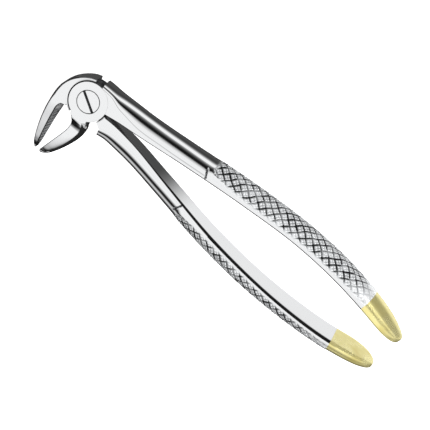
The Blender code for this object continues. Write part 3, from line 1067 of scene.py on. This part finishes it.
@dataclass
class Card:
    """A matt card that only reflections see, as flags and reflectors are in a light tent."""

    name: str
    low: tuple[float, float]
    high: tuple[float, float]
    height: float
    level: float
    soft: float = 25.0

    def place(self) -> None:
        """Lay the card and fade its border over the soft width."""
        (x0, y0), (x1, y1) = self.low, self.high
        corners = [(x0, y0), (x1, y0), (x1, y1), (x0, y1)]
        mesh = bpy.data.meshes.new(self.name)
        mesh.from_pydata([(x * MM, y * MM, self.height * MM) for x, y in corners], [], [(0, 1, 2, 3)])
        material = bpy.data.materials.new(self.name)
        material.use_nodes = True
        tree = material.node_tree
        tree.nodes.clear()
        place = add_node(tree, "TexCoord").outputs["Object"]
        split = add_node(tree, "SeparateXYZ", {"Vector": place})
        shares = []
        for axis, low, high in (("X", x0, x1), ("Y", y0, y1)):
            for border, sign in ((low, 1), (high, -1)):
                inside = add_node(tree, "MapRange", {
                    "Value": split.outputs[axis],
                    "From Min": border * MM, "From Max": (border + sign * self.soft) * MM,
                }, interpolation_type="SMOOTHSTEP").outputs["Result"]
                shares.append(inside)
        mask = shares[0]
        for share in shares[1:]:
            mask = add_node(tree, "Math", {0: mask, 1: share}, operation="MULTIPLY").outputs[0]
        glow = add_node(tree, "Emission", {"Color": grey(self.level), "Strength": 1.0}).outputs[0]
        clear = add_node(tree, "BsdfTransparent").outputs[0]
        mix = add_node(tree, "MixShader", {0: mask, 1: clear, 2: glow}).outputs[0]
        add_node(tree, "OutputMaterial", {"Surface": mix})
        mesh.materials.append(material)
        thing = bpy.data.objects.new(self.name, mesh)
        bpy.context.scene.collection.objects.link(thing)
        mirror_only(thing)


@dataclass
class Flag:
    """An upright dark panel, square to X, that only reflections see."""

    name: str
    x: float
    low: tuple[float, float]
    high: tuple[float, float]
    level: float

    def place(self) -> None:
        """Stand the panel."""
        (y0, z0), (y1, z1) = self.low, self.high
        corners = [(y0, z0), (y1, z0), (y1, z1), (y0, z1)]
        mesh = bpy.data.meshes.new(self.name)
        mesh.from_pydata([(self.x * MM, y * MM, z * MM) for y, z in corners], [], [(0, 1, 2, 3)])
        material = bpy.data.materials.new(self.name)
        material.use_nodes = True
        tree = material.node_tree
        tree.nodes.clear()
        glow = add_node(tree, "Emission", {"Color": grey(self.level), "Strength": 1.0}).outputs[0]
        add_node(tree, "OutputMaterial", {"Surface": glow})
        mesh.materials.append(material)
        thing = bpy.data.objects.new(self.name, mesh)
        bpy.context.scene.collection.objects.link(thing)
        mirror_only(thing)


@dataclass
class Studio:
    """Pale floor, soft light tent and camera."""

    floor_z: float = -4.2
    floor_wide: float = 4000.0
    target: tuple[float, float, float] = (68.43, -3.11, 4.3)
    distance: float = 675.0
    tilt: float = 21.8
    roll: float = 40.59
    lens: float = 139.23
    # Light round the tent: degrees of lean from straight up towards +Y, and the grey there.
    belts: Keys = (
        (-180, 236), (-175, 205), (-168, 45), (-112, 50), (-103, 62), (-95, 120), (-87, 205),
        (-79, 210), (-73, 165), (-66, 50), (-61, 16), (-54, 18), (-49, 80), (-43, 172), (-36, 222),
        (-28, 246), (-2, 244), (7, 190), (12, 30), (20, 10), (26, 55), (33, 108), (38, 165),
        (43, 245), (57, 252), (65, 205), (76, 105), (88, 66), (104, 64), (146, 86), (153, 236),
        (180, 236),
    )
    fill_at: tuple[float, float, float] = (75.0, 0.0, 0.0)
    fill_way: tuple[float, float, float] = (0.5, 0.42, 0.76)
    fill_away: float = 0.5
    fill_wide: float = 0.35
    fill_watts: float = 5.6
    end_from: float = 0.38
    end_to: float = 0.46
    end_level: float = 0.7

    def floor(self) -> None:
        """Lay a pale floor that the metal's reflections pass through, as a lit glass table would."""
        reach = self.floor_wide * MM
        mesh = bpy.data.meshes.new("floor")
        corners = [(-reach, -reach), (reach, -reach), (reach, reach), (-reach, reach)]
        mesh.from_pydata([(x, y, self.floor_z * MM) for x, y in corners], [], [(0, 1, 2, 3)])
        material = bpy.data.materials.new("pale_floor")
        material.use_nodes = True
        shader = material.node_tree.nodes["Principled BSDF"]
        shader.inputs["Base Color"].default_value = grey(0.5)
        shader.inputs["Roughness"].default_value = 0.9
        shader.inputs["Specular IOR Level"].default_value = 0.0
        shader.inputs["Emission Color"].default_value = grey(1.0)
        shader.inputs["Emission Strength"].default_value = 1.0
        mesh.materials.append(material)
        thing = bpy.data.objects.new("floor", mesh)
        bpy.context.scene.collection.objects.link(thing)
        thing.visible_glossy = False

    def tent(self) -> None:
        """Light everything from long panels that run beside the handles, parted by dark gaps.

        The light in a direction depends on its lean from straight up towards +Y, and it falls
        away towards both ends of the panels.
        """
        world = bpy.data.worlds.new("light_tent")
        bpy.context.scene.world = world
        world.use_nodes = True
        tree = world.node_tree
        tree.nodes.clear()
        way = add_node(tree, "TexCoord").outputs["Generated"]
        parts = add_node(tree, "SeparateXYZ", {"Vector": way}).outputs
        lean = add_node(tree, "Math", {0: parts["Y"], 1: parts["Z"]}, operation="ARCTAN2").outputs[0]
        share = add_node(tree, "MapRange", {
            "Value": lean, "From Min": -math.pi, "From Max": math.pi,
        }).outputs["Result"]
        stops = [((angle + 180) / 360, grey(shade(level))) for angle, level in self.belts]
        tent = ramp(tree, share, stops).outputs["Color"]
        aside = add_node(tree, "Math", {0: parts["X"]}, operation="ABSOLUTE").outputs[0]
        ends = add_node(tree, "MapRange", {
            "Value": aside, "From Min": self.end_from, "From Max": self.end_to, "To Min": 1.0,
            "To Max": self.end_level,
        }, interpolation_type="SMOOTHSTEP").outputs["Result"]
        light = add_node(tree, "Background", {"Color": tent, "Strength": ends}).outputs[0]
        add_node(tree, "OutputWorld", {"Surface": light})

    def cards(self) -> None:
        """Set the dark flags under the head and beside the beaks."""
        Card("flag_under_head", (-180, -30), (72, 130), -84.0, 0.075).place()
        Flag("flag_right_of_beaks", 9.2, (-48.0, -25.0), (-10.8, 17.0), 0.02).place()
        Flag("flag_left_of_beaks", -17.0, (-48.0, -10.0), (9.0, 21.0), 0.03).place()

    def fill(self) -> None:
        """Hang a soft box beside the handles that lights matt facets and isn't mirrored."""
        data = bpy.data.lights.new("soft_fill", "AREA")
        data.size = self.fill_wide
        data.energy = self.fill_watts
        thing = bpy.data.objects.new("soft_fill", data)
        bpy.context.scene.collection.objects.link(thing)
        aim = Vector(self.fill_way).normalized()
        spot = Vector(self.fill_at) * MM + aim * self.fill_away
        thing.matrix_world = Matrix.Translation(spot) @ aim.to_track_quat("Z", "Y").to_matrix().to_4x4()
        thing.visible_glossy = False

    def camera(self) -> None:
        """Set the camera above the handles, tilted towards +Y and rolled about its own axis."""
        tilt, roll = math.radians(self.tilt), math.radians(self.roll)
        back = Vector((0.0, math.sin(tilt), math.cos(tilt)))
        along = Vector((1.0, 0.0, 0.0))
        up_slope = back.cross(along)
        right = math.cos(roll) * along + math.sin(roll) * up_slope
        up = math.cos(roll) * up_slope - math.sin(roll) * along
        data = bpy.data.cameras.new("camera")
        data.lens = self.lens
        data.sensor_width = 36.0
        data.clip_end = 10.0
        thing = bpy.data.objects.new("camera", data)
        bpy.context.scene.collection.objects.link(thing)
        turn = Matrix((right, up, back)).transposed().to_4x4()
        spot = (Vector(self.target) + back * self.distance) * MM
        thing.matrix_world = Matrix.Translation(spot) @ turn
        bpy.context.scene.camera = thing

    def build(self) -> None:
        """Set up floor, light and camera, with plain colour handling."""
        bpy.context.scene.view_settings.view_transform = "Standard"
        self.floor()
        self.tent()
        self.cards()
        self.fill()
        self.camera()


UPPER = Handle(
    "upper", 1, 2.0,
    inner=((2.0, -0.75), (8.4, 0.35), (14, 1.4), (23, 2.55), (45, 5.85), (75, 9.75), (105, 12.05),
           (130, 10.8), (145, 8.4), (157.3, 5.2)),
    side=((0, 9.2), (4, 8.7), (9, 7.2), (12, 5.3), (16, 3.9), (20, 2.9), (35, 1.8), (60, 1.4),
          (160, 1.2)),
    grip=Grip(),
    depth=((0, 12.2), (4, 11.9), (9, 11.1), (14, 10.4), (20, 9.95), (35, 9.1), (60, 8.65),
           (80, 8.5), (97, 8.1), (125, 7.3), (145, 6.2), (160, 5.2)),
    edge=((0, 0.35), (45, 0.4), (160, 0.5)),
)
LOWER = Handle(
    "lower", -1, 5.0,
    inner=((5.0, -0.8), (13, -0.35), (23, -1.05), (45, -4.55), (75, -9.35), (105, -11.2),
           (120, -10.75), (135, -9.25), (145, -7.4), (156.2, -5.3)),
    side=((0, 6.2), (10, 4.9), (15, 3.6), (20, 2.9), (35, 2.1), (60, 1.4), (160, 1.2)),
    grip=Grip(),
    depth=((0, 10.6), (4, 10.3), (9, 9.5), (14, 8.9), (20, 8.7), (35, 8.1), (60, 7.85), (97, 7.3),
           (125, 6.5), (145, 6.0), (160, 5.7)),
    edge=((0, 0.3), (25, 0.35), (50, 0.9), (60, 1.05), (160, 1.15)),
    width=((0, 8.56), (20, 8.56), (35, 9.3), (55, 10.9), (75, 12.4), (95, 13.5), (115, 14.8),
           (135, 15.75), (145, 15.8), (160, 15.8)),
)


def main() -> None:
    """Build the studio and every piece in order."""
    logging.basicConfig(level=logging.INFO, format="%(message)s")
    Studio().build()
    steel = PolishedSteel().make()
    screw_steel = PolishedSteel(name="buffed_screw_steel", haze=0.08).make()
    gold = GoldPlate().make()
    dress = Dresser(JointGapShade().make()).piece
    dress("rear_half_forging", RearHalf(LOWER).mesh("rear"), steel, Body.REAR, "rear_half", Slot.STEEL)
    dress("front_half_forging", FrontHalf(UPPER).mesh("front"), steel, Body.FRONT, "front_half", Slot.STEEL)
    dress("slotted_pivot_screw", PivotScrew().mesh(), screw_steel, Body.REAR, "pivot_screw", Slot.SCREW)
    dress("rear_gold_end", LOWER.gold_mesh(), gold, Body.REAR, "rear_handle_gold_end", Slot.GOLD)
    dress("front_gold_end", UPPER.gold_mesh(), gold, Body.FRONT, "front_handle_gold_end", Slot.GOLD)


if __name__ == "__main__":
    main()
